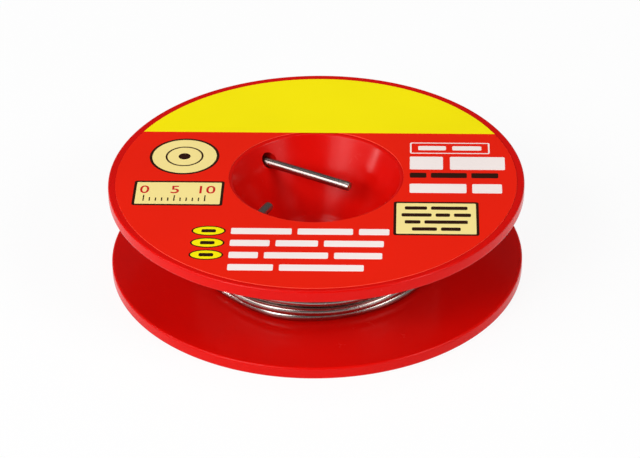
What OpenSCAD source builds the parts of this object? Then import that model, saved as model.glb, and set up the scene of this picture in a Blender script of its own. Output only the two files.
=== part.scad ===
// Solder wire spool: a plastic spool in two snapped halves, a ring label on top and one flux-cored wire.
// Millimetres, +Z up. The origin is on the spool's axis, at the base that it stands on.
// The wire is wound clockwise, seen from above. Both of its ends come out inside the hub cup.

/* [Flanges] */
// Outer diameter of both flanges
flange_d = 65; // [48:0.5:90]
// Thickness of a flange
flange_t = 2; // [1.4:0.1:3]
// Height of the groove between the flanges
groove_h = 11.7; // [10:0.1:20]
// Rounding of the flange rims
rim_r = 0.35; // [0.1:0.05:0.6]

/* [Hub cup] */
// Diameter of the cup's mouth at the top face
mouth_d = 26.4; // [24:0.2:27]
// Rounding of the cup's lip
lip_r = 0.4; // [0.2:0.05:0.6]
// Diameter at which the cup's straight wall would meet its floor
foot_d = 11.5; // [11:0.25:14]
// Clearance between the cup's underside and the surface that the spool stands on
cup_clear = 0.3; // [0.1:0.1:4]
// Radius that blends the cup's wall into its floor
floor_blend_r = 5; // [3:0.25:5.25]
// Thickness of the cup's wall and floor
cup_wall = 1.4; // [1:0.1:1.8]

/* [Winding drum] */
// Outer diameter of the drum that the wire is wound on
drum_d = 31.3; // [31:0.1:34]
// Thickness of the drum's wall
drum_wall = 1.5; // [1.1:0.1:1.8]

/* [Snap collar] */
// Height of the lower half's collar above its flange
collar_h = 5; // [4:0.1:6]
// Thickness of the collar's wall
collar_wall = 1.4; // [1:0.1:1.8]
// Clearance between the collar and the drum, on the radius
collar_gap = 0.05; // [0.03:0.01:0.1]
// How far the snap bead stands out of the collar
bead_out = 0.25; // [0.15:0.05:0.4]
// Height of the snap bead at its root
bead_h = 1; // [0.8:0.1:1.4]

/* [Wire holes] */
// Diameter of the two holes that pass the wire through the hub
hole_d = 2.4; // [2.3:0.1:3]
// Gap between the wire and the bottom of its hole
hole_seat_gap = 0.05; // [0.02:0.01:0.15]

/* [Top label] */
// Width of bare flange outside the label
label_inset = 1.2; // [0.8:0.1:3]
// Width of bare flange between the cup's mouth and the label
label_hole_gap = 0.45; // [0.3:0.05:1.5]
// Thickness of the label
label_t = 0.12; // [0.08:0.01:0.3]
// How far the label's outline lies off centre, towards the front
label_shift = 0.35; // [0:0.05:0.5]
// How far the label's hole lies off centre, towards the back
label_hole_shift = 0.2; // [0:0.05:0.3]

/* [Solder wire] */
// Diameter of the wire
wire_d = 1.5; // [1.2:0.1:1.7]
// Diameter of the flux core inside the wire
flux_d = 0.56; // [0.4:0.02:0.7]
// Layers of wire under the outer one
inner_layers = 2; // [1:1:4]
// Least free gap between two turns of the outer layer
turn_gap = 0.48; // [0.42:0.02:0.8]
// Radius of the bend where the last turn goes into the hub
lead_bend_r = 3; // [2.4:0.1:3.6]
// How far the second turn bulges out on its loose side
bulge_out = 1.3; // [1.2:0.1:2]

/* [Wire ends] */
// Azimuth at which the free end comes out of the cup's wall, in degrees
free_az = 128.4; // [120:0.5:140]
// Heading of the free end in plan, in degrees
free_heading = -31.2; // [-40:0.2:-24]
// Length of the free end inside the cup
free_len = 14.6; // [8:0.1:16]
// Azimuth at which the held start of the wire comes out of the cup's wall, in degrees
start_az = -141.8; // [-146:0.2:-126]
// Heading of the held start in plan, in degrees
start_heading = 62; // [44:1:66]
// Length of the held start inside the cup
start_len = 4.4; // [2:0.1:5]

/* [Hidden] */
$fn = 64;
round_fn = 180;

RED = [0.84, 0.07, 0.04];
LABEL_RED = [0.9, 0.13, 0.06];
TIN = [0.72, 0.72, 0.74];
FLUX = [0.62, 0.42, 0.16];

// Levels and radii of the two halves
flange_r = flange_d / 2;
groove_top = flange_t + groove_h;
top_z = groove_top + flange_t;
mouth_r = mouth_d / 2;
foot_r = foot_d / 2;
floor_z = cup_clear + cup_wall;
cup_depth = top_z - floor_z;
cup_taper = atan((mouth_r - foot_r) / cup_depth);
drum_r = drum_d / 2;
drum_in_r = drum_r - drum_wall;
collar_r = drum_in_r - collar_gap;
collar_in_r = collar_r - collar_wall;
collar_top = flange_t + collar_h;
bead_z = flange_t + collar_h / 2;
bead_flat = 0.2;
rim_steps = 4;
blend_steps = 10;

// The wire lies against the flanges but for a small gap
side_gap = 0.1;
wire_r = wire_d / 2;
wire_low_z = flange_t + side_gap + wire_r;
wire_top_z = groove_top - side_gap - wire_r;
hole_z = wire_top_z - wire_r - hole_seat_gap + hole_d / 2;

// A solid root joins the cup to the drum, from the flange to below the wire holes
root_wall = 0.8;
root_z = hole_z - hole_d / 2 - root_wall;

// Layers nest in each other, so each one adds less than a diameter
layer_step = wire_d * cos(30);
turn_r = drum_r + wire_r + inner_layers * layer_step;
core_gap = 0.3;
core_r = turn_r - wire_r - core_gap;
core_in_r = drum_r + 0.05;

// The outer layer climbs from level to level at the back, between these azimuths
turn_rings = 24;
turn_sides = 6;
climb_deg = 60;
climb_end_az = 60;
climbs = floor((wire_top_z - wire_low_z) / (wire_d + turn_gap));
pitch = (wire_top_z - wire_low_z) / climbs;

// The loose side of the second turn bulges out and drops a little
bulge_az = 205;
bulge_half_deg = 80;
bulge_drop = 0.15 * pitch;

// The outer layer starts square off the drum and goes round a tight bend
tail_gap = 0.2;
tail_bend_r = wire_d;
tail_bend_at = sqrt(pow(turn_r - tail_bend_r, 2) - pow(tail_bend_r, 2));
tail_az = climb_end_az + asin(tail_bend_r / (turn_r - tail_bend_r));

// The free end turns about a ball in the mouth of its hole, clear of the wire behind it
ball_gap = 0.3;

// The flux core lies in its bore, which stops short of the end that stays in the hub
flux_gap = 0.01;
flux_short = 0.5;

// Room around the wire in the slots through the inner turns
slot_gap = 0.35;
slot_bend_room = 0.7;

// Plan vectors, and how far a ray from p along u goes before it is r away from the axis
function unit(a) = [cos(a), sin(a)];
function right_of(u) = [u.y, -u.x];
function dot(a, b) = a.x * b.x + a.y * b.y;
function reach(p, u, r) = sqrt(pow(dot(p, u), 2) - dot(p, p) + r * r) - dot(p, u);

// Points on an arc about c, and a list in reverse order
function arc(c, r, a0, a1, steps) = [for (i = [0:steps]) c + r * unit(a0 + (a1 - a0) * i / steps)];
function reverse(list) = [for (i = [len(list) - 1:-1:0]) list[i]];

// Radius of the cup's inner and outer wall at a height
function cup_r(z) = mouth_r - (top_z - z) * tan(cup_taper);
function cup_out_r(z) = cup_r(z) + cup_wall / cos(cup_taper);

// Where the two wire ends leave the cup's wall, their headings, and the way back to the drum's surface
wall_r = cup_r(wire_top_z);
free_at = wall_r * unit(free_az);
free_u = unit(free_heading);
free_exit = reach(free_at, -free_u, drum_r);
start_at = wall_r * unit(start_az);
start_u = unit(start_heading);
start_exit = reach(start_at, -start_u, drum_r);
start_back = min([for (s = [-1, 1]) reach(start_at + s * wire_r * right_of(start_u), -start_u, drum_r)]);

// The bend between the last turn and the free end's hole touches both of them
bend_base = free_at + lead_bend_r * right_of(free_u);
bend_back = reach(bend_base, -free_u, turn_r - lead_bend_r);
bend_c = bend_base - bend_back * free_u;
bend_az = atan2(bend_c.y, bend_c.x);
wind_deg = 360 * climbs + climb_end_az + 360 - bend_az;

// Centres of the floor's blend and of the lip's rounding, in the section plane
blend_c = [
    mouth_r - (floor_blend_r + (cup_depth - floor_blend_r) * sin(cup_taper)) / cos(cup_taper),
    floor_z + floor_blend_r
];
lip_c = [mouth_r + lip_r * (1 - sin(cup_taper)) / cos(cup_taper), top_z - lip_r];

// Section of a rounded rim, from its lower face round to its upper face
function rim(z0, z1) = concat(
    arc([flange_r - rim_r, z0 + rim_r], rim_r, -90, 0, rim_steps),
    arc([flange_r - rim_r, z1 - rim_r], rim_r, 0, 90, rim_steps)
);

// Section of the cup's inside, from the middle of its floor up over its lip
function cup_inside() = concat(
    [[0, floor_z]],
    arc(blend_c, floor_blend_r, -90, -cup_taper, blend_steps),
    arc(lip_c, lip_r, 180 - cup_taper, 90, rim_steps)
);

// Section of the cup's underside, from the root down to the middle of its floor
function cup_outside() = concat(
    [[cup_out_r(root_z), root_z]],
    arc(blend_c, floor_blend_r + cup_wall, -cup_taper, -90, blend_steps),
    [[0, floor_z - cup_wall]]
);

// Section of the snap bead on a wall of radius r, made g taller at each end, from its top down
function bead(r, g) = [
    [r, bead_z + bead_h / 2 + g],
    [r + bead_out, bead_z + bead_flat / 2 + g],
    [r + bead_out, bead_z - bead_flat / 2 - g],
    [r, bead_z - bead_h / 2 - g]
];

// A round hole along a wire end, from inside the cup to just outside the drum
module wire_hole(at, u, exit) {
    inboard = hole_d;
    outboard = hole_d / 2;
    translate([at.x, at.y, hole_z])
        rotate([0, 90, atan2(-u.y, -u.x)])
            translate([0, 0, -inboard])
                cylinder(d = hole_d, h = inboard + exit + outboard);
}

// Flange, cup and drum of the upper half, in one moulding
module upper_half() {
    color(RED)
        difference() {
            rotate_extrude($fn = round_fn)
                polygon(concat(
                    cup_inside(),
                    reverse(rim(groove_top, top_z)),
                    [[drum_r, groove_top], [drum_r, flange_t], [drum_in_r, flange_t]],
                    reverse(bead(drum_in_r, collar_gap)),
                    [[drum_in_r, root_z]],
                    cup_outside()
                ));
            wire_hole(free_at, free_u, free_exit);
            wire_hole(start_at, start_u, start_exit);
        }
}

// Flange of the lower half, with the collar that snaps into the drum
module lower_half() {
    color(RED)
        rotate_extrude($fn = round_fn)
            polygon(concat(
                [[collar_in_r, 0]],
                rim(0, flange_t),
                [[collar_r, flange_t]],
                reverse(bead(collar_r, 0)),
                [[collar_r, collar_top], [collar_in_r, collar_top]]
            ));
}

// Printed ring label on the upper flange
module top_label() {
    color(LABEL_RED)
        translate([0, -label_shift, top_z])
            difference() {
                cylinder(r = flange_r - label_inset, h = label_t, $fn = round_fn);
                translate([0, label_shift + label_hole_shift, -label_t])
                    cylinder(r = mouth_r + label_hole_gap, h = 3 * label_t, $fn = round_fn);
            }
}

// A slot along a wire, from the drum out through the inner turns
module wire_slot(at, u, exit, z0, z1) {
    inboard = wire_d;
    outboard = 3 * wire_d;
    left = wire_r + slot_gap;
    right = left + slot_bend_room;
    translate([at.x, at.y, z0])
        rotate([0, 0, atan2(-u.y, -u.x)])
            translate([exit - inboard, -left, 0])
                cube([inboard + outboard, left + right, z1 - z0]);
}

// Inner layers of the winding, as the plain ring that they fill
module wire_inner_turns() {
    lead_bottom = wire_top_z - wire_r - slot_gap;
    tail_top = wire_low_z + wire_r + slot_gap;
    color(TIN)
        difference() {
            translate([0, 0, flange_t + side_gap])
                difference() {
                    cylinder(r = core_r, h = groove_h - 2 * side_gap, $fn = round_fn);
                    translate([0, 0, -side_gap])
                        cylinder(r = core_in_r, h = groove_h, $fn = round_fn);
                }
            wire_slot(free_at, free_u, free_exit, lead_bottom, groove_top);
            wire_slot([0, 0], -unit(tail_az), drum_r, 0, tail_top);
        }
}

// Height and radius of the outer layer after it has wound through w degrees
function smooth(x) = x <= 0 ? 0 : x >= 1 ? 1 : x * x * (3 - 2 * x);
function level(w) = floor(w / 360) + smooth((w % 360 - (360 - climb_deg)) / climb_deg);
function loose(w) = let (off = (w - 360 - (360 + climb_end_az - bulge_az)) / bulge_half_deg)
    abs(off) >= 1 ? 0 : pow(cos(90 * off), 2);
function turn_point(w) = let (
        r = turn_r + bulge_out * loose(w),
        z = wire_low_z + pitch * level(w) - bulge_drop * loose(w),
        a = climb_end_az - w
    ) [r * cos(a), r * sin(a), z];

// The outer layer's whole route: straight off the drum, round its bend, the turns, the bend into the hub
bend_rings = 4;
turn_count = ceil(wind_deg * turn_rings / 360);
function raise(list, z) = [for (p = list) [p.x, p.y, z]];
tail_u = unit(tail_az);
tail_route = concat(
    [(drum_r + tail_gap) * tail_u],
    arc(tail_bend_at * tail_u + tail_bend_r * right_of(tail_u), tail_bend_r,
        tail_az + 90, climb_end_az, bend_rings - 1)
);
lead_turn = free_heading + 90;
lead_route = concat(
    arc(bend_c, lead_bend_r, bend_az, lead_turn, bend_rings),
    [for (s = [2 * wire_d + ball_gap, wire_r + ball_gap]) free_at - s * free_u]
);
route = concat(
    raise(tail_route, wire_low_z),
    [for (i = [1:turn_count - 1]) turn_point(i * wind_deg / turn_count)],
    raise(lead_route, wire_top_z)
);

// A closed tube of round section along a route that is nowhere upright
module tube(path, d, sides) {
    last = len(path) - 1;
    rings = [for (i = [0:last]) let (
            along = path[min(i + 1, last)] - path[max(i - 1, 0)],
            t = along / norm(along),
            side = cross(t, [0, 0, 1]) / norm(cross(t, [0, 0, 1])),
            up = cross(side, t)
        ) for (k = [0:sides - 1]) path[i] + d / 2 * (cos(360 * k / sides) * side + sin(360 * k / sides) * up)];
    skin = [for (i = [0:last - 1], k = [0:sides - 1]) let (
            a = i * sides + k,
            b = i * sides + (k + 1) % sides
        ) each [[a, a + sides, b], [b, a + sides, b + sides]]];
    caps = [for (k = [1:sides - 2]) each [[0, k, k + 1], [last * sides, last * sides + k + 1, last * sides + k]]];
    polyhedron(points = rings, faces = concat(skin, caps));
}

// Least gap between stretches of the route that are a fifth of a turn or more apart
function to_segment(p, a, b) = let (t = (p - a) * (b - a) / ((b - a) * (b - a)))
    norm(p - a - max(0, min(1, t)) * (b - a));
function least_gap(path, d, apart) = min([for (i = [0:len(path) - 1])
    for (j = [i + apart:1:len(path) - 2]) to_segment(path[i], path[j], path[j + 1])]) - d;
echo(str("least gap of the outer turns to themselves, in mm: ", least_gap(route, wire_d, turn_rings / 4)));

// Outer layer of the winding, as one unbroken tube
module wire_outer_turns() {
    color(TIN)
        tube(route, wire_d, turn_sides);
}

// A straight end of the wire along a heading, from back behind the cup's wall to ahead of it
module along_wire(at, u, back) {
    translate([at.x, at.y, wire_top_z])
        rotate([0, 90, atan2(u.y, u.x)])
            translate([0, 0, -back])
                children();
}

// The bore that the flux core fills, open at the cut end
module flux_bore(len) {
    translate([0, 0, flux_short])
        cylinder(d = flux_d + 2 * flux_gap, h = len);
}

// Held start of the wire, from the inner turns through the hub into the cup
module wire_start_end() {
    len = start_back + start_len;
    color(TIN)
        along_wire(start_at, start_u, start_back)
            difference() {
                cylinder(d = wire_d, h = len);
                flux_bore(len);
            }
}

// Free end of the wire, with the ball that it bends about
module wire_free_end() {
    color(TIN)
        along_wire(free_at, free_u, 0)
            difference() {
                union() {
                    sphere(d = wire_d);
                    cylinder(d = wire_d, h = free_len);
                }
                flux_bore(free_len);
            }
}

// Flux cores, flush with the cut ends
module flux_core_start_end() {
    color(FLUX)
        along_wire(start_at, start_u, start_back)
            translate([0, 0, flux_short])
                cylinder(d = flux_d, h = start_back + start_len - flux_short);
}

module flux_core_free_end() {
    color(FLUX)
        along_wire(free_at, free_u, 0)
            translate([0, 0, flux_short])
                cylinder(d = flux_d, h = free_len - flux_short);
}

upper_half();
lower_half();
top_label();
wire_inner_turns();
wire_outer_turns();
wire_start_end();
wire_free_end();
flux_core_start_end();
flux_core_free_end();
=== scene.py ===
import math

import bmesh
import bpy
from mathutils import Matrix, Vector


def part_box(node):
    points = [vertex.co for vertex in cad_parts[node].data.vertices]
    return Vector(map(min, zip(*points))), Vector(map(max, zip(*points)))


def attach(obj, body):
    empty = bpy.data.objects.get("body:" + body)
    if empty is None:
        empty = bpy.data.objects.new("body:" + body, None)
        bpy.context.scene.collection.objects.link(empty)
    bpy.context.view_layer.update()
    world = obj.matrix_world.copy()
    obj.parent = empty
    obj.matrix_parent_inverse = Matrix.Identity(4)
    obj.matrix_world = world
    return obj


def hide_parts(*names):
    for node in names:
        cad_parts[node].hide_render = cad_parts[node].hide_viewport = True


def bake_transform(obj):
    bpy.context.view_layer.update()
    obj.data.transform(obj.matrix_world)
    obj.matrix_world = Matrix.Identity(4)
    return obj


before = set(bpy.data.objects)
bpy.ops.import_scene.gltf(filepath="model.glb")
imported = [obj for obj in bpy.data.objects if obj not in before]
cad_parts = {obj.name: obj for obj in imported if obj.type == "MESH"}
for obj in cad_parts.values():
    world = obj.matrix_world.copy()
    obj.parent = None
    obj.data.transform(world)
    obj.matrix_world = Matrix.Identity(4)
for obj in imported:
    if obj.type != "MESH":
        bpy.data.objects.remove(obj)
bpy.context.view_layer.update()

# ---------------------------------------------------------------------------------------------
# Viewpoint
# The spool is seen from the front and a little above, through a long lens, so that both flanges
# read as near-parallel ellipses. The picture is 640 by 458 pixels.
# ---------------------------------------------------------------------------------------------
MM = 0.001
PICTURE_W = 640
LENS_MM = 162.83
SENSOR_W_MM = 36
VIEW_ELEVATION = 32.12
VIEW_ROLL = -0.7
VIEW_DISTANCE = 456.3 * MM
VIEW_TARGET = Vector((0, 0, 7.85 * MM))
FRAME_SHIFT_PX = (3.36, -9.58)


def direction(azimuth, elevation):
    """Unit vector towards an azimuth, counted from +X towards +Y, and an elevation, in degrees."""
    a = math.radians(azimuth)
    e = math.radians(elevation)
    return Vector((math.cos(a) * math.cos(e), math.sin(a) * math.cos(e), math.sin(e)))


def place_camera():
    lens = bpy.data.cameras.new("camera")
    lens.lens = LENS_MM
    lens.sensor_width = SENSOR_W_MM
    lens.shift_x = FRAME_SHIFT_PX[0] / PICTURE_W
    lens.shift_y = FRAME_SHIFT_PX[1] / PICTURE_W
    camera = bpy.data.objects.new("camera", lens)
    bpy.context.scene.collection.objects.link(camera)
    towards_camera = direction(-90, VIEW_ELEVATION)
    camera.location = VIEW_TARGET + towards_camera * VIEW_DISTANCE
    level = towards_camera.to_track_quat("Z", "Y").to_matrix()
    camera.rotation_euler = (level @ Matrix.Rotation(math.radians(VIEW_ROLL), 3, "Z")).to_euler()
    bpy.context.scene.camera = camera


place_camera()

# ---------------------------------------------------------------------------------------------
# Upper half of the spool
# One injection moulding in glossy red polystyrene: the upper flange, the tapered hub cup that
# hangs in its middle and the drum that the wire is wound on. Two round holes let the wire in.
# ---------------------------------------------------------------------------------------------
upper_low, upper_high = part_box("upper_half")
FLANGE_R = upper_high.x / MM
TOP_Z = upper_high.z / MM
FLANGE_T = 2.0
GROOVE_TOP = TOP_Z - FLANGE_T
DRUM_FOOT_Z = FLANGE_T
RIM_R = 0.35

MOUTH_R = 13.2
LIP_R = 0.4
FOOT_R = 5.75
FLOOR_BLEND_R = 5
CUP_WALL = 1.4
CUP_CLEAR = upper_low.z / MM
CUP_FLOOR_Z = CUP_CLEAR + CUP_WALL
CUP_TAPER = math.atan2(MOUTH_R - FOOT_R, TOP_Z - CUP_FLOOR_Z)
GATE_R = 1.1
GATE_H = 0.15

DRUM_R = 15.65
DRUM_IN_R = 14.15
DRUM_FILLET = 0.3
ROOT_Z = 11.25
BEAD_OUT = 0.25
BEAD_GAP = 0.05
BEAD_Z = FLANGE_T + 2.5
BEAD_HALF_H = 0.5
BEAD_HALF_FLAT = 0.1
SOFT_EDGE = 0.15

LATHE_SEGMENTS = 288

WIRE_D = 1.5
WIRE_R = WIRE_D / 2
WIRE_TOP_Z = 12.85
FREE_AZIMUTH = 128.4
FREE_HEADING = -31.2
START_AZIMUTH = -141.8
START_HEADING = 62

HOLE_D = 2.4
HOLE_SEAT_GAP = 0.05
HOLE_Z = WIRE_TOP_Z - WIRE_R - HOLE_SEAT_GAP + HOLE_D / 2
HOLE_SEGMENTS = 40


def flat(azimuth, radius=1.0, z=0.0):
    """A point in millimetres, given by its azimuth and radius in plan and its height."""
    a = math.radians(azimuth)
    return Vector((radius * math.cos(a), radius * math.sin(a), z))


def cup_r(z):
    """Radius of the cup's inner wall at a height."""
    return MOUTH_R - (TOP_Z - z) * math.tan(CUP_TAPER)


WALL_R = cup_r(WIRE_TOP_Z)
FREE_AT = flat(FREE_AZIMUTH, WALL_R, WIRE_TOP_Z)
FREE_ALONG = flat(FREE_HEADING)
START_AT = flat(START_AZIMUTH, WALL_R, WIRE_TOP_Z)
START_ALONG = flat(START_HEADING)


def reach(point, along, radius):
    """How far a level ray goes before it is a radius away from the spool's axis."""
    ahead = point.x * along.x + point.y * along.y
    off = point.x * point.x + point.y * point.y
    return math.sqrt(ahead * ahead - off + radius * radius) - ahead


def rounded(corners, arc_step=9.0, hold=0.12, longest=1.6):
    """A section line through corners (r, z, fillet), with rings close beside each arc and edge."""
    line = []
    for i, (r, z, fillet) in enumerate(corners):
        here = Vector((r, z))
        if fillet == 0:
            line.append(here)
            continue
        back = (Vector(corners[i - 1][:2]) - here).normalized()
        ahead = (Vector(corners[(i + 1) % len(corners)][:2]) - here).normalized()
        turn = math.pi - back.angle(ahead)
        set_back = fillet * math.tan(turn / 2)
        centre = here + (back + ahead).normalized() * (fillet / math.cos(turn / 2))
        first = here + back * set_back - centre
        side = 1 if back.x * ahead.y - back.y * ahead.x < 0 else -1
        steps = max(2, round(math.degrees(turn) / arc_step))
        for k in range(steps + 1):
            line.append(centre + Matrix.Rotation(side * turn * k / steps, 2) @ first)
    return filled_in(line, hold, longest)


def filled_in(line, hold, longest):
    """The line with a point close to each end of its long straights and more along them."""
    full = [line[0]]
    for a, b in zip(line, line[1:]):
        length = (b - a).length
        if length > 3 * hold:
            marks = [hold / length]
            inner = math.ceil((length - 2 * hold) / longest)
            marks += [(hold + (length - 2 * hold) * k / inner) / length for k in range(1, inner)]
            marks.append(1 - hold / length)
            full += [a.lerp(b, m) for m in marks]
        full.append(b)
    return full


def turned(name, section, closed):
    """A body of revolution about the spool's axis from a section line in millimetres."""
    mesh = bmesh.new()
    rings = []
    for r, z in section:
        if r < 1e-6:
            rings.append([mesh.verts.new((0, 0, z * MM))])
            continue
        turn = [flat(360 * k / LATHE_SEGMENTS, r, z) for k in range(LATHE_SEGMENTS)]
        rings.append([mesh.verts.new(point * MM) for point in turn])
    if closed:
        rings.append(rings[0])
    for a, b in zip(rings, rings[1:]):
        for k in range(LATHE_SEGMENTS):
            n = (k + 1) % LATHE_SEGMENTS
            corners = [a[k % len(a)], a[n % len(a)], b[n % len(b)], b[k % len(b)]]
            mesh.faces.new(dict.fromkeys(corners))
    bmesh.ops.recalc_face_normals(mesh, faces=mesh.faces)
    return made(name, mesh)


def made(name, mesh, sharp_over=40.0):
    """A new object from a bmesh, smooth but for its edges sharper than an angle in degrees."""
    data = bpy.data.meshes.new(name)
    mesh.to_mesh(data)
    mesh.free()
    piece = bpy.data.objects.new(name, data)
    bpy.context.scene.collection.objects.link(piece)
    shade(piece, sharp_over)
    return piece


def shade(piece, sharp_over=40.0):
    piece.data.shade_smooth()
    piece.data.set_sharp_from_angle(angle=math.radians(sharp_over))


def as_plain_mesh(piece):
    """Puts the result of a piece's modifiers in its mesh and removes them."""
    bpy.context.view_layer.update()
    result = bpy.data.meshes.new_from_object(piece.evaluated_get(bpy.context.evaluated_depsgraph_get()))
    piece.modifiers.clear()
    piece.data = result
    result.name = piece.name


def rod(at, along, length, diameter, segments):
    """A plain cylinder in a bmesh, from a point along a direction, in millimetres."""
    mesh = bmesh.new()
    turn = along.to_track_quat("Z", "Y").to_matrix().to_4x4()
    place = Matrix.Translation((at + along * length / 2) * MM) @ turn
    bmesh.ops.create_cone(mesh, cap_ends=True, segments=segments, radius1=diameter / 2 * MM,
                          radius2=diameter / 2 * MM, depth=length * MM, matrix=place)
    return mesh


def drill(piece, at, along):
    """Cuts a wire hole from inside the cup to just outside the drum."""
    start = Vector((at.x, at.y, HOLE_Z)) + along * HOLE_D
    length = HOLE_D + reach(at, -along, DRUM_R) + HOLE_D / 2
    bit = made("hole_bit", rod(start, -along, length, HOLE_D, HOLE_SEGMENTS))
    cut = piece.modifiers.new("hole", "BOOLEAN")
    cut.object = bit
    cut.solver = "EXACT"
    as_plain_mesh(piece)
    bpy.data.objects.remove(bit)
    shade(piece)


def upper_section():
    """The section from the cup's floor out over the flange, round the drum and back under the hub."""
    foot_r = cup_r(CUP_FLOOR_Z)
    slant = CUP_WALL / math.cos(CUP_TAPER)
    under_z = CUP_FLOOR_Z - CUP_WALL
    groove_r = DRUM_IN_R + BEAD_OUT
    groove_half = BEAD_HALF_H + BEAD_GAP
    return rounded([
        (0, CUP_FLOOR_Z, 0),
        (foot_r, CUP_FLOOR_Z, FLOOR_BLEND_R),
        (MOUTH_R, TOP_Z, LIP_R),
        (FLANGE_R, TOP_Z, RIM_R),
        (FLANGE_R, GROOVE_TOP, RIM_R),
        (DRUM_R, GROOVE_TOP, DRUM_FILLET),
        (DRUM_R, DRUM_FOOT_Z, SOFT_EDGE),
        (DRUM_IN_R, DRUM_FOOT_Z, SOFT_EDGE),
        (DRUM_IN_R, BEAD_Z - groove_half, 0),
        (groove_r, BEAD_Z - BEAD_HALF_FLAT - BEAD_GAP, 0),
        (groove_r, BEAD_Z + BEAD_HALF_FLAT + BEAD_GAP, 0),
        (DRUM_IN_R, BEAD_Z + groove_half, 0),
        (DRUM_IN_R, ROOT_Z, DRUM_FILLET),
        (cup_r(ROOT_Z) + slant, ROOT_Z, DRUM_FILLET),
        (cup_r(under_z) + slant, under_z, FLOOR_BLEND_R + CUP_WALL),
        (GATE_R, under_z, SOFT_EDGE),
        (GATE_R, under_z - GATE_H, SOFT_EDGE / 2),
        (0, under_z - GATE_H, 0),
    ])


def colour(r, g, b):
    """A linear colour from the 0 to 255 values that it shows as."""
    def linear(value):
        share = value / 255
        return ((share + 0.055) / 1.055) ** 2.4 if value > 10 else share / 12.92

    return linear(r), linear(g), linear(b), 1


def node_group(name, inputs, outputs):
    """An empty shader group with its sockets. Inputs are (name, type, default), outputs (name, type)."""
    group = bpy.data.node_groups.new(name, "ShaderNodeTree")
    for label, kind, default in inputs:
        socket = group.interface.new_socket(label, in_out="INPUT", socket_type=kind)
        socket.default_value = default
    for label, kind in outputs:
        group.interface.new_socket(label, in_out="OUTPUT", socket_type=kind)
    return group, group.nodes.new("NodeGroupInput"), group.nodes.new("NodeGroupOutput")


def add_node(tree, kind, inputs=None, **settings):
    """A node with its settings, its inputs given as values or as sockets to link from."""
    node = tree.nodes.new(kind)
    for key, value in settings.items():
        setattr(node, key, value)
    for key, value in (inputs or {}).items():
        if isinstance(value, bpy.types.NodeSocket):
            tree.links.new(value, node.inputs[key])
        else:
            node.inputs[key].default_value = value
    return node


def worn_surface_group():
    """Moulded or printed skin: slow changes of tone, fine handling marks and a faint surface texture."""
    group, given, result = node_group("worn_surface", [
        ("Colour", "NodeSocketColor", (1, 1, 1, 1)),
        ("Tone Change", "NodeSocketFloat", 0.05),
        ("Roughness", "NodeSocketFloat", 0.25),
        ("Marks", "NodeSocketFloat", 0.1),
        ("Texture Scale", "NodeSocketFloat", 900.0),
        ("Texture Depth", "NodeSocketFloat", 0.000004),
    ], [("Colour", "NodeSocketColor"), ("Roughness", "NodeSocketFloat"), ("Normal", "NodeSocketVector")])
    place = add_node(group, "ShaderNodeTexCoord").outputs["Object"]
    slow = add_node(group, "ShaderNodeTexNoise", {"Vector": place, "Scale": 55.0, "Detail": 2.0})
    around_one = add_node(group, "ShaderNodeMapRange", {
        "Value": slow.outputs["Fac"], "From Min": 0.3, "From Max": 0.7, "To Min": -1.0, "To Max": 1.0})
    change = add_node(group, "ShaderNodeMath", {
        0: around_one.outputs["Result"], 1: given.outputs["Tone Change"], 2: 1.0},
        operation="MULTIPLY_ADD")
    tinted = add_node(group, "ShaderNodeVectorMath", {
        0: given.outputs["Colour"], "Scale": change.outputs["Value"]}, operation="SCALE")
    hair = add_node(group, "ShaderNodeTexNoise", {
        "Vector": place, "Scale": 260.0, "Detail": 6.0, "Roughness": 0.75})
    marks = add_node(group, "ShaderNodeMapRange", {
        "Value": hair.outputs["Fac"], "From Min": 0.42, "From Max": 0.68, "To Min": 0.0, "To Max": 1.0})
    rough = add_node(group, "ShaderNodeMath", {
        0: marks.outputs["Result"], 1: given.outputs["Marks"], 2: given.outputs["Roughness"]},
        operation="MULTIPLY_ADD")
    grain = add_node(group, "ShaderNodeTexNoise", {
        "Vector": place, "Scale": given.outputs["Texture Scale"], "Detail": 3.0})
    bump = add_node(group, "ShaderNodeBump", {
        "Height": grain.outputs["Fac"], "Distance": given.outputs["Texture Depth"], "Strength": 1.0})
    group.links.new(tinted.outputs["Vector"], result.inputs["Colour"])
    group.links.new(rough.outputs["Value"], result.inputs["Roughness"])
    group.links.new(bump.outputs["Normal"], result.inputs["Normal"])
    return group


WORN_SURFACE = worn_surface_group()


def skin(name, tint, roughness, specular, **surface):
    """A plastic, paper or resin material with the worn surface, and settings by the group's names."""
    material = bpy.data.materials.new(name)
    material.use_nodes = True
    tree = material.node_tree
    shader = tree.nodes["Principled BSDF"]
    shader.inputs["Specular IOR Level"].default_value = specular
    surface_node = tree.nodes.new("ShaderNodeGroup")
    surface_node.node_tree = WORN_SURFACE
    surface_node.inputs["Colour"].default_value = tint
    surface_node.inputs["Roughness"].default_value = roughness
    for key, value in surface.items():
        surface_node.inputs[key.replace("_", " ")].default_value = value
    tree.links.new(surface_node.outputs["Colour"], shader.inputs["Base Color"])
    tree.links.new(surface_node.outputs["Roughness"], shader.inputs["Roughness"])
    tree.links.new(surface_node.outputs["Normal"], shader.inputs["Normal"])
    return material


RED_PLASTIC = skin("red_polystyrene", colour(212, 11, 5), roughness=0.2, specular=0.12,
                   Tone_Change=0.04, Marks=0.08, Texture_Scale=1200.0, Texture_Depth=0.000002)

upper_moulding = turned("upper_moulding", upper_section(), closed=False)
drill(upper_moulding, FREE_AT, FREE_ALONG)
drill(upper_moulding, START_AT, START_ALONG)
upper_moulding.data.materials.clear()
upper_moulding.data.materials.append(RED_PLASTIC)
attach(upper_moulding, "spool")
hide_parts("upper_half")

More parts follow.
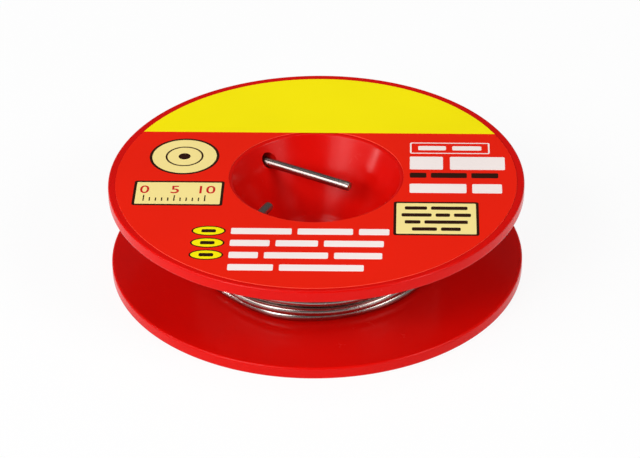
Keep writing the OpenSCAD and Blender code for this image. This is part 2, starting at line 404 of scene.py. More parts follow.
# ---------------------------------------------------------------------------------------------
# Lower half of the spool
# The second moulding in the same plastic: a flange with a short collar. The collar's bead snaps
# into the groove inside the drum, and that holds the two halves together.
# ---------------------------------------------------------------------------------------------
COLLAR_R = DRUM_IN_R - BEAD_GAP
COLLAR_IN_R = 12.7
COLLAR_H = 5
COLLAR_TOP = FLANGE_T + COLLAR_H


def lower_section():
    """The section from the inner edge of the underside, round the flange and up the collar."""
    bead_r = COLLAR_R + BEAD_OUT
    corners = [
        (COLLAR_IN_R, 0, SOFT_EDGE),
        (FLANGE_R, 0, RIM_R),
        (FLANGE_R, FLANGE_T, RIM_R),
        (COLLAR_R, FLANGE_T, 0),
        (COLLAR_R, BEAD_Z - BEAD_HALF_H, 0),
        (bead_r, BEAD_Z - BEAD_HALF_FLAT, 0),
        (bead_r, BEAD_Z + BEAD_HALF_FLAT, 0),
        (COLLAR_R, BEAD_Z + BEAD_HALF_H, 0),
        (COLLAR_R, COLLAR_TOP, SOFT_EDGE),
        (COLLAR_IN_R, COLLAR_TOP, SOFT_EDGE),
    ]
    return rounded(corners)


lower_moulding = turned("lower_moulding", lower_section(), closed=True)
lower_moulding.data.materials.append(RED_PLASTIC)
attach(lower_moulding, "spool")
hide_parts("lower_half")

# ---------------------------------------------------------------------------------------------
# Top label
# A ring punched from coated self-adhesive paper and stuck on the upper flange, a little turned
# and off centre. It is printed all over in red, and its cut edge shows as a thin lighter line.
# ---------------------------------------------------------------------------------------------
label_low, label_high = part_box("top_label")
LABEL_R = (label_high.x - label_low.x) / 2 / MM
LABEL_HOLE_R = 13.65
LABEL_HOLE_Y = 0.2
LABEL_CENTRE_Y = (label_high.y + label_low.y) / 2 / MM
LABEL_TURN = -2.2
LABEL_TOP = label_high.z / MM
INK_T = 0.012
PAPER_TOP = LABEL_TOP - INK_T
PAPER_EDGE = 0.03
FACES_UP = 0.3

LABEL_PLACE = (Matrix.Translation((0, LABEL_CENTRE_Y * MM, 0))
               @ Matrix.Rotation(math.radians(LABEL_TURN), 4, "Z"))


def label_section():
    return rounded([
        (LABEL_HOLE_R, TOP_Z, 0),
        (LABEL_HOLE_R, PAPER_TOP, PAPER_EDGE),
        (LABEL_R, PAPER_TOP, PAPER_EDGE),
        (LABEL_R, TOP_Z, 0),
    ], arc_step=30, hold=0.05, longest=4)


def inked(name, tint):
    return skin(name, tint, roughness=0.42, specular=0.1, Tone_Change=0.025,
                Marks=0.06, Texture_Scale=3500.0, Texture_Depth=0.000003)


RED_INK = inked("label_red_ink", colour(238, 31, 8))
BARE_PAPER = skin("label_paper_edge", colour(242, 84, 62), roughness=0.5, specular=0.3,
                  Tone_Change=0.03)

label_paper = turned("label_paper", label_section(), closed=True)
# The hole isn't concentric with the outline
for v in label_paper.data.vertices:
    outward = (v.co.xy.length / MM - LABEL_HOLE_R) / (LABEL_R - LABEL_HOLE_R)
    v.co.y += (1 - outward) * (LABEL_HOLE_Y - LABEL_CENTRE_Y) * MM
label_paper.data.materials.append(RED_INK)
label_paper.data.materials.append(BARE_PAPER)
for face in label_paper.data.polygons:
    face.material_index = 0 if face.normal.z > FACES_UP else 1
label_paper.data.transform(LABEL_PLACE)
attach(label_paper, "spool")
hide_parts("top_label")

# ---------------------------------------------------------------------------------------------
# Print on the label
# Spot colours over the red: a bare yellow field, two cream panels and a cream disc with dark
# outlines, and plain bars and ovals. The only characters are the numbers of a plain scale.
# ---------------------------------------------------------------------------------------------
INK_FOOT = PAPER_TOP - INK_T / 2
OVERPRINT = INK_T / 3
OUTLINE_W = 0.42
BAR_CORNER = 0.25


def ink_top(layer):
    """Height of an ink's face: layer 0 lies on the red, and layer 1 on another spot colour."""
    return PAPER_TOP + (INK_T - OVERPRINT * (2 - layer))


def box_outline(x, y, width, height, corner=0.0, steps=4):
    """Points round a rectangle about its centre, with round corners."""
    points = []
    for k, (sx, sy) in enumerate([(1, 1), (-1, 1), (-1, -1), (1, -1)]):
        cx = x + sx * (width / 2 - corner)
        cy = y + sy * (height / 2 - corner)
        for s in range(steps + 1):
            a = math.radians(90 * k + 90 * s / steps)
            points.append((cx + corner * math.cos(a), cy + corner * math.sin(a)))
    return points


def oval_outline(x, y, width, height, steps=64):
    turns = [2 * math.pi * k / steps for k in range(steps)]
    return [(x + width / 2 * math.cos(a), y + height / 2 * math.sin(a)) for a in turns]


def print_solid(ink, outline, layer=0):
    """A printed patch with its whole outline filled."""
    top = ink_top(layer)
    low = [ink.verts.new((x * MM, y * MM, INK_FOOT * MM)) for x, y in outline]
    high = [ink.verts.new((x * MM, y * MM, top * MM)) for x, y in outline]
    ink.faces.new(high)
    ink.faces.new(list(reversed(low)))
    for k in range(len(outline)):
        n = (k + 1) % len(outline)
        ink.faces.new([low[k], low[n], high[n], high[k]])


def print_line(ink, outer, inner, layer=0):
    """A printed closed line between two outlines of as many points."""
    top = ink_top(layer)
    rings = [[ink.verts.new((x * MM, y * MM, z * MM)) for x, y in outline]
             for outline, z in ((outer, INK_FOOT), (outer, top), (inner, top), (inner, INK_FOOT))]
    for a, b in zip(rings, rings[1:] + rings[:1]):
        for k in range(len(a)):
            n = (k + 1) % len(a)
            ink.faces.new([a[k], a[n], b[n], b[k]])


def print_words(ink, x, y, height, words, gap, layer=0):
    """A row of plain bars from x to the right, centred on y."""
    for width in words:
        corner = min(BAR_CORNER, height / 3)
        print_solid(ink, box_outline(x + width / 2, y, width, height, corner), layer)
        x += width + gap


def finish_print(name, ink, tint):
    bmesh.ops.recalc_face_normals(ink, faces=ink.faces)
    piece = made(name, ink, sharp_over=30)
    piece.data.transform(LABEL_PLACE)
    piece.data.materials.append(inked(name + "_ink", tint))
    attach(piece, "spool")


yellow_ink = bmesh.new()
cream_ink = bmesh.new()
white_ink = bmesh.new()
dark_ink = bmesh.new()
scarlet_ink = bmesh.new()

# The yellow field behind a chord of the label
FIELD_CHORD_Y = 13.75
FIELD_R = LABEL_R - PAPER_EDGE
FIELD_STEPS = 96
half_chord = math.degrees(math.acos(FIELD_CHORD_Y / FIELD_R))
field_angles = [90 - half_chord + 2 * half_chord * k / FIELD_STEPS for k in range(FIELD_STEPS + 1)]
print_solid(yellow_ink, [flat(a, FIELD_R)[:2] for a in field_angles])


def outlined_panel(x, y, width, height, corner=0.2):
    """A cream panel with a dark outline half over its edge."""
    print_solid(cream_ink, box_outline(x, y, width, height, corner))
    outer = box_outline(x, y, width + OUTLINE_W, height + OUTLINE_W, corner + OUTLINE_W / 2)
    inner = box_outline(x, y, width - OUTLINE_W, height - OUTLINE_W, corner)
    print_line(dark_ink, outer, inner, 1)


# The disc at the upper left, with a plain section through a cored wire
DISC = (-21.0, 6.1)
DISC_D = 10.6
SECTION_D = 6.0
SECTION_IN_D = 5.4
SECTION_CORE_D = 1.9


def disc_outline(diameter):
    return oval_outline(*DISC, diameter, diameter)


print_solid(cream_ink, disc_outline(DISC_D))
print_line(dark_ink, disc_outline(DISC_D + OUTLINE_W), disc_outline(DISC_D - OUTLINE_W), 1)
print_line(dark_ink, disc_outline(SECTION_D), disc_outline(SECTION_IN_D), 1)
print_solid(dark_ink, disc_outline(SECTION_CORE_D), 1)

# The panel at the lower left, with a plain scale
SCALE_PANEL = (-21.2, -5.0)
outlined_panel(*SCALE_PANEL, 13.6, 6.8)

# The framed row and the bars at the right, each row with its ink, x, y, height, bars and gap
FRAME = (20.9, 9.2)
BARS_X = 14.6
BAR_ROWS = [
    (white_ink, 15.9, 9.2, 1.3, [4.4, 4.6], 1.0),
    (white_ink, BARS_X, 4.6, 3.9, [5.2, 8.6], 1.1),
    (dark_ink, BARS_X, 0.9, 1.5, [2.6, 5.6, 4.2], 0.7),
    (white_ink, BARS_X, -3.0, 2.7, [8.8, 4.6], 0.9),
]
print_line(white_ink, box_outline(*FRAME, 12.6, 3.4, 0.3), box_outline(*FRAME, 12.1, 2.9, 0.1))
for bar_row in BAR_ROWS:
    print_words(*bar_row)

# The panel at the lower right, with short dark bars
NOTE_PANEL = (18.7, -11.8)
outlined_panel(*NOTE_PANEL, 12.6, 9.2)
NOTE_ROWS = [[3.4, 5.6], [4.6, 2.2, 2.6], [2.4, 6.6], [3.8, 3.0]]
NOTE_TOP = 3.0
NOTE_PITCH = 2.0
NOTE_BAR_H = 0.95
NOTE_GAP = 0.6
for row, words in enumerate(NOTE_ROWS):
    length = sum(words) + NOTE_GAP * (len(words) - 1)
    y = NOTE_PANEL[1] + NOTE_TOP - NOTE_PITCH * row
    print_words(dark_ink, NOTE_PANEL[0] - length / 2, y, NOTE_BAR_H, words, NOTE_GAP, 1)

# The rows of bars at the front, three of them led by an oval
ROW_X = -12.4
ROW_Y = -15.8
ROW_PITCH = 3.35
ROW_BAR_H = 1.7
ROW_GAP = 0.9
ROW_WORDS = [[9.2, 8.4, 4.6], [6.0, 6.4, 9.0], [4.4, 9.6, 7.2], [6.8, 12.6]]
OVALS = 3
OVAL_X = -15.8
OVAL_BAR_X = -16.9
for row, words in enumerate(ROW_WORDS):
    y = ROW_Y - ROW_PITCH * row
    print_words(white_ink, ROW_X, y, ROW_BAR_H, words, ROW_GAP)
    if row < OVALS:
        print_solid(yellow_ink, oval_outline(OVAL_X, y, 5.0, 2.6))
        print_line(dark_ink, oval_outline(OVAL_X, y, 5.2, 2.8), oval_outline(OVAL_X, y, 4.7, 2.3), 1)
        print_words(dark_ink, OVAL_BAR_X, y, 0.9, [2.2], 0, 1)

finish_print("print_yellow", yellow_ink, colour(255, 238, 5))
finish_print("print_cream", cream_ink, colour(253, 232, 150))
finish_print("print_white", white_ink, colour(252, 240, 236))
finish_print("print_dark", dark_ink, colour(46, 20, 8))


def node_tree_of(name, inputs):
    """An empty Geometry Nodes tree with its named inputs (name, type, default)."""
    tree = bpy.data.node_groups.new(name, "GeometryNodeTree")
    tree.interface.new_socket("Geometry", in_out="INPUT", socket_type="NodeSocketGeometry")
    for label, kind, default in inputs:
        socket = tree.interface.new_socket(label, in_out="INPUT", socket_type=kind)
        if default is not None:
            socket.default_value = default
    tree.interface.new_socket("Geometry", in_out="OUTPUT", socket_type="NodeSocketGeometry")
    return tree, tree.nodes.new("NodeGroupInput"), tree.nodes.new("NodeGroupOutput")


def run_nodes(piece, tree, values):
    """Puts the tree on a piece with its inputs set by name, and keeps the result as a plain mesh."""
    modifier = piece.modifiers.new(tree.name, "NODES")
    modifier.node_group = tree
    for item in tree.interface.items_tree:
        if item.in_out == "INPUT" and item.name in values:
            modifier[item.identifier] = values[item.name]
    as_plain_mesh(piece)


def tick_row_tree():
    """A row of upright ticks along X, with every fifth one longer."""
    tree, given, result = node_tree_of("tick_row", [
        ("Count", "NodeSocketInt", 11),
        ("Spacing", "NodeSocketFloat", 0.001),
        ("Tick Width", "NodeSocketFloat", 0.0002),
        ("Tick Height", "NodeSocketFloat", 0.001),
        ("Long Share", "NodeSocketFloat", 1.6),
        ("Thickness", "NodeSocketFloat", 0.00001),
        ("Material", "NodeSocketMaterial", None),
    ])
    offset = add_node(tree, "ShaderNodeCombineXYZ", {"X": given.outputs["Spacing"]})
    points = add_node(tree, "GeometryNodeMeshLine", {
        "Count": given.outputs["Count"], "Offset": offset.outputs["Vector"]}, mode="OFFSET")
    index = add_node(tree, "GeometryNodeInputIndex")
    fifth = add_node(tree, "ShaderNodeMath", {0: index.outputs[0], 1: 5.0}, operation="MODULO")
    is_fifth = add_node(tree, "FunctionNodeCompare", {0: fifth.outputs[0], 1: 0.5}, operation="LESS_THAN")
    share = add_node(tree, "GeometryNodeSwitch", {
        0: is_fifth.outputs[0], 1: 1.0, 2: given.outputs["Long Share"]}, input_type="FLOAT")
    stretch = add_node(tree, "ShaderNodeCombineXYZ", {"X": 1.0, "Y": share.outputs[0], "Z": 1.0})
    size = add_node(tree, "ShaderNodeCombineXYZ", {
        "X": given.outputs["Tick Width"], "Y": given.outputs["Tick Height"],
        "Z": given.outputs["Thickness"]})
    tick = add_node(tree, "GeometryNodeMeshCube", {"Size": size.outputs["Vector"]})
    half_up = add_node(tree, "ShaderNodeMath", {
        0: given.outputs["Tick Height"], 1: 0.5}, operation="MULTIPLY")
    lift = add_node(tree, "ShaderNodeCombineXYZ", {"Y": half_up.outputs[0]})
    raised = add_node(tree, "GeometryNodeTransform", {
        "Geometry": tick.outputs["Mesh"], "Translation": lift.outputs["Vector"]})
    row = add_node(tree, "GeometryNodeInstanceOnPoints", {
        "Points": points.outputs["Mesh"], "Instance": raised.outputs["Geometry"],
        "Scale": stretch.outputs["Vector"]})
    real = add_node(tree, "GeometryNodeRealizeInstances", {"Geometry": row.outputs["Instances"]})
    painted = add_node(tree, "GeometryNodeSetMaterial", {
        "Geometry": real.outputs["Geometry"], "Material": given.outputs["Material"]})
    tree.links.new(painted.outputs["Geometry"], result.inputs["Geometry"])
    return tree


SCALE_TICKS = 11
SCALE_SPACING = 0.95
SCALE_MIDDLE_X = SCALE_PANEL[0] - 0.55
SCALE_LEFT = SCALE_MIDDLE_X - SCALE_SPACING * (SCALE_TICKS - 1) / 2
SCALE_LINE_Y = SCALE_PANEL[1] - 2.3
NUMBER_H = 2.2
CAPITAL_SHARE = 0.7
STROKE_SWELL = 0.012

scale_ticks = bpy.data.objects.new("print_scale_ticks", bpy.data.meshes.new("print_scale_ticks"))
bpy.context.scene.collection.objects.link(scale_ticks)
run_nodes(scale_ticks, tick_row_tree(), {
    "Count": SCALE_TICKS,
    "Spacing": SCALE_SPACING * MM,
    "Tick Width": 0.2 * MM,
    "Tick Height": 1.0 * MM,
    "Long Share": 1.7,
    "Thickness": INK_T * MM,
    "Material": bpy.data.materials["print_dark_ink"],
})
scale_ticks.data.transform(LABEL_PLACE @ Matrix.Translation(
    Vector((SCALE_LEFT, SCALE_LINE_Y, PAPER_TOP + OVERPRINT)) * MM))
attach(scale_ticks, "spool")


def print_number(ink, text, x, y, height):
    """A plain number centred on x, standing on y, added to an ink as thin patches."""
    letters = bpy.data.curves.new("number", "FONT")
    letters.body = text
    letters.size = height / CAPITAL_SHARE * MM
    letters.align_x = "CENTER"
    letters.offset = STROKE_SWELL * height * MM
    letters.extrude = INK_T / 2 * MM
    letters.resolution_u = 4
    holder = bpy.data.objects.new("number", letters)
    bpy.context.scene.collection.objects.link(holder)
    bpy.context.view_layer.update()
    shape = bpy.data.meshes.new_from_object(holder.evaluated_get(bpy.context.evaluated_depsgraph_get()))
    shape.transform(Matrix.Translation(Vector((x, y, PAPER_TOP + OVERPRINT)) * MM))
    ink.from_mesh(shape)
    bpy.data.objects.remove(holder)
    bmesh.ops.remove_doubles(ink, verts=ink.verts, dist=1e-7)


for step in (0, 5, 10):
    print_number(scarlet_ink, str(step), SCALE_LEFT + SCALE_SPACING * step, SCALE_PANEL[1], NUMBER_H)
finish_print("print_scale_numbers", scarlet_ink, colour(206, 30, 34))

# ---------------------------------------------------------------------------------------------
# Solder wire on the drum
# Tin alloy drawn to 1.5 mm round a thread of flux and wound on by machine in three layers. The
# three lowest turns of the outer layer have gone slack and stand off the winding at the front.
# ---------------------------------------------------------------------------------------------
TURNS = 7
SNUG_TURNS = 3
SIDE_GAP = 0.05
LOW_TURN_Z = FLANGE_T + SIDE_GAP + WIRE_R
LAYER_STEP = WIRE_D * math.cos(math.radians(30))
OUTER_TURN_R = DRUM_R + WIRE_R + 2 * LAYER_STEP
START_OF_LAYER = 60
CLIMB_DEG = 60
TUCK_DEG = 30
TUCKED_DEG = 6
RINGS_PER_TURN = 120
LEAD_BEND_R = 3.0
WIRE_SIDES = 20
HIDDEN_WIRE_SIDES = 12
RELAX_REACH = 3
BEND_STEPS = 16
LEAD_STEP = 0.5
TURN_UNEVENNESS = 0.06

# Where the lowest turns swell off the winding: azimuth of the middle, half widths to the left and
# to the right in degrees, and how far out
SWELLS = [
    [(-110, 18, 40, 0.95), (-75, 60, 60, 0.35)],
    [(-106, 42, 95, 1.6)],
    [(-104, 50, 110, 1.3)],
]


def ease(x):
    """A smooth step from 0 to 1."""
    x = min(1.0, max(0.0, x))
    return x * x * (3 - 2 * x)


def swell(turn, azimuth):
    """How far a turn stands off the winding at an azimuth."""
    out = 0.0
    for middle, left, right, amount in SWELLS[turn] if turn < len(SWELLS) else []:
        off = (azimuth - middle) / (left if azimuth < middle else right)
        out += amount * math.cos(math.pi / 2 * off) ** 2 if abs(off) < 1 else 0.0
    return out


def level_z(level):
    """Height of a turn, counted from the lowest: the snug turns touch, and the others are spread."""
    snug = SNUG_TURNS - 1
    snug_z = LOW_TURN_Z + WIRE_D * min(level, snug)
    spread = (WIRE_TOP_Z - LOW_TURN_Z - WIRE_D * snug) / (TURNS - 1 - snug)
    return snug_z + spread * max(0, level - snug)


def sag(turn, azimuth):
    """How far a turn sinks because it lies beside the one below it and no longer on top of it."""
    if turn == 0 or turn >= SNUG_TURNS:
        return 0.0
    beside = min(WIRE_D, abs(swell(turn, azimuth) - swell(turn - 1, azimuth)))
    return WIRE_D - math.sqrt(WIRE_D ** 2 - beside ** 2) + sag(turn - 1, azimuth)


def outer_point(wound):
    """A point of the outer layer by the degrees wound, which are below zero where it is tucked under."""
    if wound < 0:
        tuck = LAYER_STEP * ease(-wound / TUCK_DEG)
        return flat(START_OF_LAYER - wound, OUTER_TURN_R - tuck, LOW_TURN_Z)
    turn = int(wound // 360)
    azimuth = START_OF_LAYER - wound % 360
    z = level_z(turn) - sag(turn, azimuth)
    climb = ease((wound % 360 - (360 - CLIMB_DEG)) / CLIMB_DEG)
    z += (level_z(turn + 1) - level_z(turn)) * climb
    return flat(azimuth, OUTER_TURN_R + swell(turn, azimuth), z)


def relaxed(points, reach_each_way):
    """The points with each one moved to the mean of its neighbours, as a stiff wire lies."""
    last = len(points) - 1
    result = []
    for i in range(len(points)):
        n = min(reach_each_way, i, last - i)
        result.append(sum(points[i - n:i + n + 1], Vector((0, 0, 0))) / (2 * n + 1))
    return result


def right_of(along):
    return Vector((along.y, -along.x, 0))


bend_base = FREE_AT + right_of(FREE_ALONG) * LEAD_BEND_R
bend_centre = bend_base - FREE_ALONG * reach(bend_base, -FREE_ALONG, OUTER_TURN_R - LEAD_BEND_R)
bend_azimuth = math.degrees(math.atan2(bend_centre.y, bend_centre.x))
OUTER_WOUND = 360 * (TURNS - 1) + START_OF_LAYER + 360 - bend_azimuth
LEAD_END = 3.0
INNER_PITCH = (WIRE_TOP_Z - LOW_TURN_Z) / (TURNS - 1)


def outer_route():
    """The outer layer, from under its own first turn to its bend and its lead into the hub's wall."""
    steps = round(OUTER_WOUND * RINGS_PER_TURN / 360)
    tucked = round((TUCK_DEG + TUCKED_DEG) * RINGS_PER_TURN / 360)
    wound = [outer_point(OUTER_WOUND * k / steps) for k in range(-tucked, steps + 1)]
    bend_to = FREE_HEADING + 90
    bend = []
    for k in range(1, BEND_STEPS + 1):
        azimuth = bend_azimuth + (bend_to - bend_azimuth) * k / BEND_STEPS
        bend.append(bend_centre + flat(azimuth, LEAD_BEND_R))
    lead = straight(bend[-1], FREE_AT - FREE_ALONG * LEAD_END, LEAD_STEP)
    return relaxed(wound, RELAX_REACH) + bend + lead[1:]


def straight(a, b, step):
    count = max(1, round((b - a).length / step))
    return [a.lerp(b, k / count) for k in range(count + 1)]


def inner_route():
    """The two layers underneath, the first wound down the drum and the second back up it.

    Known fault: the first layer's end and the second's start are a quarter turn apart, and the
    straight stretch between them cuts through the drum and the collar, under the hub.
    """
    rings = RINGS_PER_TURN // 2
    first = OUTER_TURN_R - 2 * LAYER_STEP
    second = OUTER_TURN_R - LAYER_STEP
    points = []
    for k in range((TURNS - 1) * rings + 1):
        z = WIRE_TOP_Z - INNER_PITCH * k / rings
        points.append(flat(START_OF_LAYER - 360 * k / rings, first, z))
    for k in range(rings // 4, (TURNS - 2) * rings + 1):
        z = LOW_TURN_Z + INNER_PITCH * (0.5 + k / rings)
        points.append(flat(START_OF_LAYER - 360 * k / rings, second, z))
    return points


def drawn_wire_tree():
    """A round, slightly uneven wire along a polyline, which notes each point's place along and round."""
    tree, given, result = node_tree_of("drawn_wire", [
        ("Diameter", "NodeSocketFloat", 0.0015),
        ("Sides", "NodeSocketInt", 16),
        ("Unevenness", "NodeSocketFloat", 0.0),
        ("Unevenness Scale", "NodeSocketFloat", 60.0),
        ("Seed", "NodeSocketFloat", 3.0),
        ("Material", "NodeSocketMaterial", None),
    ])
    line = add_node(tree, "GeometryNodeMeshToCurve", {"Mesh": given.outputs["Geometry"]})
    where = add_node(tree, "GeometryNodeInputPosition")
    wander = add_node(tree, "ShaderNodeTexNoise", {
        "Vector": where.outputs[0], "W": given.outputs["Seed"],
        "Scale": given.outputs["Unevenness Scale"], "Detail": 1.0}, noise_dimensions="4D")
    centred = add_node(tree, "ShaderNodeVectorMath", {
        0: wander.outputs["Color"], 1: (0.5, 0.5, 0.5)}, operation="SUBTRACT")
    shift = add_node(tree, "ShaderNodeVectorMath", {
        0: centred.outputs["Vector"], "Scale": given.outputs["Unevenness"]}, operation="SCALE")
    uneven = add_node(tree, "GeometryNodeSetPosition", {
        "Geometry": line.outputs["Curve"], "Offset": shift.outputs["Vector"]})
    along = add_node(tree, "GeometryNodeSplineParameter")
    kept_along = add_node(tree, "GeometryNodeCaptureAttribute", {"Geometry": uneven.outputs["Geometry"]})
    kept_along.capture_items.new("FLOAT", "Along")
    tree.links.new(along.outputs["Length"], kept_along.inputs["Along"])
    radius = add_node(tree, "ShaderNodeMath", {
        0: given.outputs["Diameter"], 1: 0.5}, operation="MULTIPLY")
    circle = add_node(tree, "GeometryNodeCurvePrimitiveCircle", {
        "Resolution": given.outputs["Sides"], "Radius": radius.outputs[0]}, mode="RADIUS")
    section = add_node(tree, "GeometryNodeInputPosition")
    kept_round = add_node(tree, "GeometryNodeCaptureAttribute", {"Geometry": circle.outputs["Curve"]})
    kept_round.capture_items.new("VECTOR", "Round")
    tree.links.new(section.outputs[0], kept_round.inputs["Round"])
    skin_mesh = add_node(tree, "GeometryNodeCurveToMesh", {
        "Curve": kept_along.outputs["Geometry"], "Profile Curve": kept_round.outputs["Geometry"],
        "Fill Caps": True})
    parts = add_node(tree, "ShaderNodeSeparateXYZ", {0: kept_round.outputs["Round"]})
    flow = add_node(tree, "ShaderNodeCombineXYZ", {
        "X": kept_along.outputs["Along"], "Y": parts.outputs["X"], "Z": parts.outputs["Y"]})
    noted = add_node(tree, "GeometryNodeStoreNamedAttribute", {
        "Geometry": skin_mesh.outputs["Mesh"], "Name": "wire_flow", "Value": flow.outputs["Vector"]},
        data_type="FLOAT_VECTOR", domain="POINT")
    smooth = add_node(tree, "GeometryNodeSetShadeSmooth", {"Geometry": noted.outputs["Geometry"]})
    real = add_node(tree, "GeometryNodeRealizeInstances", {"Geometry": smooth.outputs["Geometry"]})
    painted = add_node(tree, "GeometryNodeSetMaterial", {
        "Geometry": real.outputs["Geometry"], "Material": given.outputs["Material"]})
    tree.links.new(painted.outputs["Geometry"], result.inputs["Geometry"])
    return tree


def solder_material():
    """Bright tin alloy with fine drawing lines along the wire and duller patches from handling."""
    material = bpy.data.materials.new("solder_tin")
    material.use_nodes = True
    tree = material.node_tree
    shader = tree.nodes["Principled BSDF"]
    shader.inputs["Metallic"].default_value = 1.0
    flow = add_node(tree, "ShaderNodeAttribute", attribute_name="wire_flow")
    lengthways = add_node(tree, "ShaderNodeMapping", {
        "Vector": flow.outputs["Vector"], "Scale": (0.03, 1.0, 1.0)})
    lines = add_node(tree, "ShaderNodeTexNoise", {
        "Vector": lengthways.outputs["Vector"], "Scale": 3400.0, "Detail": 3.0, "Roughness": 0.6})
    place = add_node(tree, "ShaderNodeTexCoord").outputs["Object"]
    dull = add_node(tree, "ShaderNodeTexNoise", {"Vector": place, "Scale": 190.0, "Detail": 4.0})
    # Both tones carry a warm tint that is painted reflection of the red flanges; the mix between them
    # along the wire gives the drawing lines.
    tone = add_node(tree, "ShaderNodeMix", {
        "Factor": lines.outputs["Fac"], "A": colour(128, 113, 109), "B": colour(200, 186, 180)},
        data_type="RGBA")
    rough = add_node(tree, "ShaderNodeMapRange", {
        "Value": dull.outputs["Fac"], "From Min": 0.35, "From Max": 0.7, "To Min": 0.2, "To Max": 0.3})
    bump = add_node(tree, "ShaderNodeBump", {
        "Height": lines.outputs["Fac"], "Distance": 0.00001, "Strength": 1.0})
    tree.links.new(tone.outputs["Result"], shader.inputs["Base Color"])
    tree.links.new(rough.outputs["Result"], shader.inputs["Roughness"])
    tree.links.new(bump.outputs["Normal"], shader.inputs["Normal"])
    return material


DRAWN_WIRE = drawn_wire_tree()
SOLDER = solder_material()


def wire_along(name, route, unevenness, sides=WIRE_SIDES):
    """A length of the wire along a route in millimetres, as a plain mesh."""
    line = bmesh.new()
    points = [line.verts.new(p * MM) for p in route]
    for a, b in zip(points, points[1:]):
        line.edges.new((a, b))
    piece = made(name, line)
    run_nodes(piece, DRAWN_WIRE, {
        "Diameter": WIRE_D * MM, "Sides": sides, "Unevenness": unevenness * MM, "Material": SOLDER})
    shade(piece, 50)
    return piece


outer_turns = wire_along("outer_turns", outer_route(), TURN_UNEVENNESS)
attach(outer_turns, "spool")
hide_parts("wire_outer_turns")

inner_turns = wire_along("inner_turns", inner_route(), 0.0, HIDDEN_WIRE_SIDES)
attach(inner_turns, "spool")
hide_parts("wire_inner_turns")

# ---------------------------------------------------------------------------------------------
# Ends of the wire in the hub cup
# Both ends come in through the cup's wall. The start is a short stub that holds the winding, and
# the free end lies across the cup, where a finger lifts it. Side cutters have pinched both tips.
# ---------------------------------------------------------------------------------------------
FREE_LEN = 14.6
START_LEN = 3.8
FLUX_D = 0.56
CORE_RECESS = 0.12
PINCH_LEN = 0.7
PINCH_FLAT = 0.1
WIRE_STEP = 0.22
BURR_W = 0.06
BURR_H = 0.05
BORE_MARGIN = 0.12
BORE_EDGE = 0.01
CORE_LEN = 1.2
CORE_PLAY = 0.02
CORE_SINK_SHARE = 0.6
CORE_SIDES = 24


def cut_tip(piece, tip, along):
    """Pinches the last stretch of a wire end and opens the bore of its flux core in the cut face."""
    mesh = bmesh.new()
    mesh.from_mesh(piece.data)
    for v in mesh.verts:
        back = (tip * MM - v.co).dot(along) / MM
        if back < PINCH_LEN:
            squeeze = 1 - PINCH_FLAT * ease(1 - back / PINCH_LEN)
            v.co.z = (v.co.z / MM - tip.z) * squeeze * MM + tip.z * MM
    mesh.faces.ensure_lookup_table()
    cap = max(mesh.faces, key=lambda f: f.calc_center_median().dot(along))
    face_w = WIRE_R - BORE_MARGIN - FLUX_D / 2
    bmesh.ops.inset_individual(mesh, faces=[cap], thickness=BURR_W * MM, depth=BURR_H * MM)
    bmesh.ops.inset_individual(mesh, faces=[cap], thickness=face_w * MM, depth=0.0)
    bmesh.ops.inset_individual(mesh, faces=[cap], thickness=BORE_EDGE * MM, depth=-CORE_RECESS * MM)
    shift = (tip * MM - cap.calc_center_median()).dot(along) - CORE_RECESS * MM
    bmesh.ops.translate(mesh, verts=cap.verts, vec=along * min(0.0, shift))
    mesh.to_mesh(piece.data)
    mesh.free()
    shade(piece, 35)


def flux_core(name, tip, along, body, node):
    """The end of the amber flux thread, a little below the cut face."""
    foot = tip - along * (CORE_LEN + CORE_RECESS * CORE_SINK_SHARE)
    piece = made(name, rod(foot, along, CORE_LEN, FLUX_D - CORE_PLAY, CORE_SIDES), sharp_over=30)
    piece.data.materials.append(FLUX_RESIN)
    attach(piece, body)
    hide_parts(node)


FLUX_RESIN = skin("flux_resin", colour(196, 142, 62), roughness=0.3, specular=0.5,
                  Tone_Change=0.1, Marks=0.1)

free_tip = FREE_AT + FREE_ALONG * FREE_LEN
free_route = straight(FREE_AT - FREE_ALONG * LEAD_END, free_tip, WIRE_STEP)
free_end = wire_along("free_end", free_route, 0.0)
cut_tip(free_end, free_tip, FREE_ALONG)
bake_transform(free_end)
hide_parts("wire_free_end")
flux_core("free_end_core", free_tip, FREE_ALONG, "free_end", "flux_core_free_end")

start_tip = START_AT + START_ALONG * START_LEN
start_back = reach(START_AT, -START_ALONG, DRUM_R + WIRE_R)
start_route = straight(START_AT - START_ALONG * start_back, start_tip, WIRE_STEP)
start_end = wire_along("start_end", start_route, 0.0)
cut_tip(start_end, start_tip, START_ALONG)
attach(start_end, "spool")
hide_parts("wire_start_end")
flux_core("start_end_core", start_tip, START_ALONG, "spool", "flux_core_start_end")

# ---------------------------------------------------------------------------------------------
# Table and light
# A white sheet under the spool, in a dim room that is a little brighter low down. Wide soft lamps
# stand at the front left, the front right and overhead, and a small low one glints in the hub cup.
# ---------------------------------------------------------------------------------------------
FLOOR_SIZE = 5.0
FLOOR_EVEN = 0.9
FLOOR_GAP = 0.02 * MM
LIGHT_AIM = Vector((0, 0, 8 * MM))
BRIGHT_BELOW_DEG = 6
DIM_ABOVE_DEG = 11
LAMP_DISTANCE = 1.0


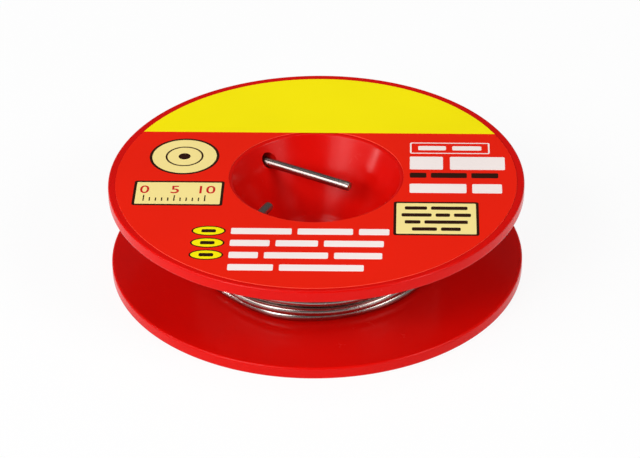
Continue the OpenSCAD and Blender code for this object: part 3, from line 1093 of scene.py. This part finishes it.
def white_floor():
    """A white sheet. Seen directly or mirrored it is evened out to white, but for a light shadow."""
    sheet = bmesh.new()
    bmesh.ops.create_grid(sheet, x_segments=1, y_segments=1, size=FLOOR_SIZE / 2)
    bmesh.ops.translate(sheet, verts=sheet.verts, vec=(0, 0, -FLOOR_GAP))
    floor = made("floor", sheet)
    material = bpy.data.materials.new("white_board")
    material.use_nodes = True
    tree = material.node_tree
    board = tree.nodes["Principled BSDF"]
    board.inputs["Base Color"].default_value = colour(252, 252, 252)
    board.inputs["Roughness"].default_value = 0.8
    board.inputs["Specular IOR Level"].default_value = 0.0
    glow = add_node(tree, "ShaderNodeEmission", {"Color": (1, 1, 1, 1), "Strength": 1.0})
    ray = add_node(tree, "ShaderNodeLightPath").outputs
    seen = add_node(tree, "ShaderNodeMath", {
        0: ray["Is Camera Ray"], 1: ray["Is Glossy Ray"]}, operation="ADD")
    either = add_node(tree, "ShaderNodeMath", {
        0: seen.outputs["Value"], 1: ray["Is Transmission Ray"]}, operation="ADD", use_clamp=True)
    share = add_node(tree, "ShaderNodeMath", {
        0: either.outputs["Value"], 1: FLOOR_EVEN}, operation="MULTIPLY")
    both = add_node(tree, "ShaderNodeMixShader", {
        0: share.outputs["Value"], 1: board.outputs["BSDF"], 2: glow.outputs["Emission"]})
    tree.links.new(both.outputs["Shader"], tree.nodes["Material Output"].inputs["Surface"])
    floor.data.materials.append(material)


def softbox(name, azimuth, elevation, width, height, watts):
    """A soft lamp that faces the spool from an azimuth and an elevation, with its size in metres."""
    lamp = bpy.data.lights.new(name, "AREA")
    lamp.shape = "RECTANGLE"
    lamp.size = width
    lamp.size_y = height
    lamp.energy = watts
    box = bpy.data.objects.new(name, lamp)
    bpy.context.scene.collection.objects.link(box)
    towards = direction(azimuth, elevation)
    box.location = LIGHT_AIM + towards * LAMP_DISTANCE
    box.rotation_euler = towards.to_track_quat("Z", "Y").to_euler()


def room(low, high):
    """A white room with one strength near the table's level and another overhead."""
    world = bpy.data.worlds.new("room")
    bpy.context.scene.world = world
    world.use_nodes = True
    tree = world.node_tree
    outward = add_node(tree, "ShaderNodeTexCoord").outputs["Generated"]
    upward = add_node(tree, "ShaderNodeSeparateXYZ", {0: outward})
    strength = add_node(tree, "ShaderNodeMapRange", {
        "Value": upward.outputs["Z"], "From Min": math.sin(math.radians(BRIGHT_BELOW_DEG)),
        "From Max": math.sin(math.radians(DIM_ABOVE_DEG)), "To Min": low, "To Max": high})
    background = tree.nodes["Background"]
    background.inputs["Color"].default_value = (1, 1, 1, 1)
    tree.links.new(strength.outputs["Result"], background.inputs["Strength"])


white_floor()
room(0.2, 0.12)
softbox("left_window", -150, 34, 0.9, 0.5, 5.2)
softbox("front_left", -126, 36, 0.5, 0.5, 3.4)
softbox("overhead", 90, 80, 0.5, 0.5, 1.4)
softbox("right_front", -28, 34, 0.45, 0.35, 3.6)
softbox("front_left_low", -136, 14, 0.3, 0.12, 0.6)
softbox("right_front_low", -40, 14, 0.4, 0.12, 0.8)
softbox("low_left_glint", -178, 10, 0.11, 0.045, 0.95)

bpy.context.scene.view_settings.view_transform = "Standard"
